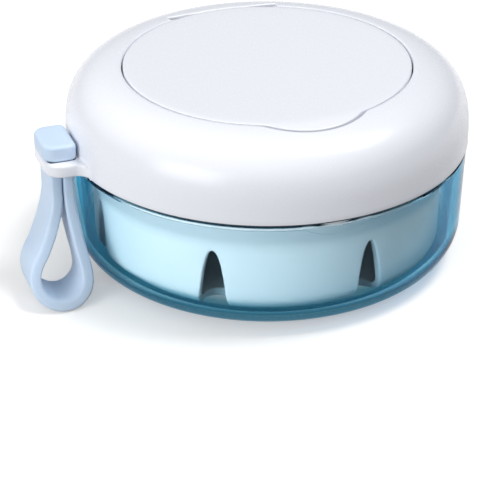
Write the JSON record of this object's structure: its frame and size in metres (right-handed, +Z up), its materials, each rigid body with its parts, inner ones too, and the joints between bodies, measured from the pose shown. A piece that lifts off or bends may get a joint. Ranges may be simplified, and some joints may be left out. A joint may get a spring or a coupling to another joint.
{
  "type": "denture case",
  "caption": "Round denture case: clear bowl with a lift-out drain basket, hinged domed lid, flip-up mirror flap in its top, and a soft loop strap on a side ear.",
  "frame": {"origin": "centre of the bowl's flat foot, on the table", "axes": "+Z up along the bowl's axis; -Y to the front with the thumb scoop; +Y to the lid's hinge; -X to the strap"},
  "size_m": [0.1213, 0.11, 0.052],
  "materials": {
    "clear_blue": "clear tinted, polished",
    "basket_white": "smooth moulded",
    "white_shell": "smooth semi-gloss",
    "silicone_blue": "matt silicone",
    "seal": "matt silicone",
    "steel": "drawn wire",
    "mirror_glass": "silvered",
    "tape": "adhesive foil"
  },
  "bodies": {
    "base": {"base_bowl": "clear_blue", "strainer_basket": "basket_white", "main_hinge_pin": "steel"},
    "lid": {"lid_shell": "white_shell", "lid_liner": "white_shell", "seal_ring": "seal", "strap_button": "silicone_blue"},
    "flap": {"mirror_flap": "white_shell", "mirror": "mirror_glass", "mirror_tape": "tape"},
    "strap": {"strap_loop": "silicone_blue"}
  },
  "joints": [
    {"name": "lid_hinge", "type": "hinge", "parent": "base", "child": "lid", "pos_m": [0, 0.0551, 0.03175], "axis": [-1, 0, 0], "range_deg": [0, 110]},
    {"name": "flap_hinge", "type": "hinge", "parent": "lid", "child": "flap", "pos_m": [0, 0.0354, 0.0508], "axis": [-1, 0, 0], "range_deg": [0, 100]},
    {"name": "strap_swing", "type": "hinge", "parent": "lid", "child": "strap", "pos_m": [-0.0567, 0, 0.02855], "axis": [0, 1, 0], "range_deg": [0, 90]}
  ]
}
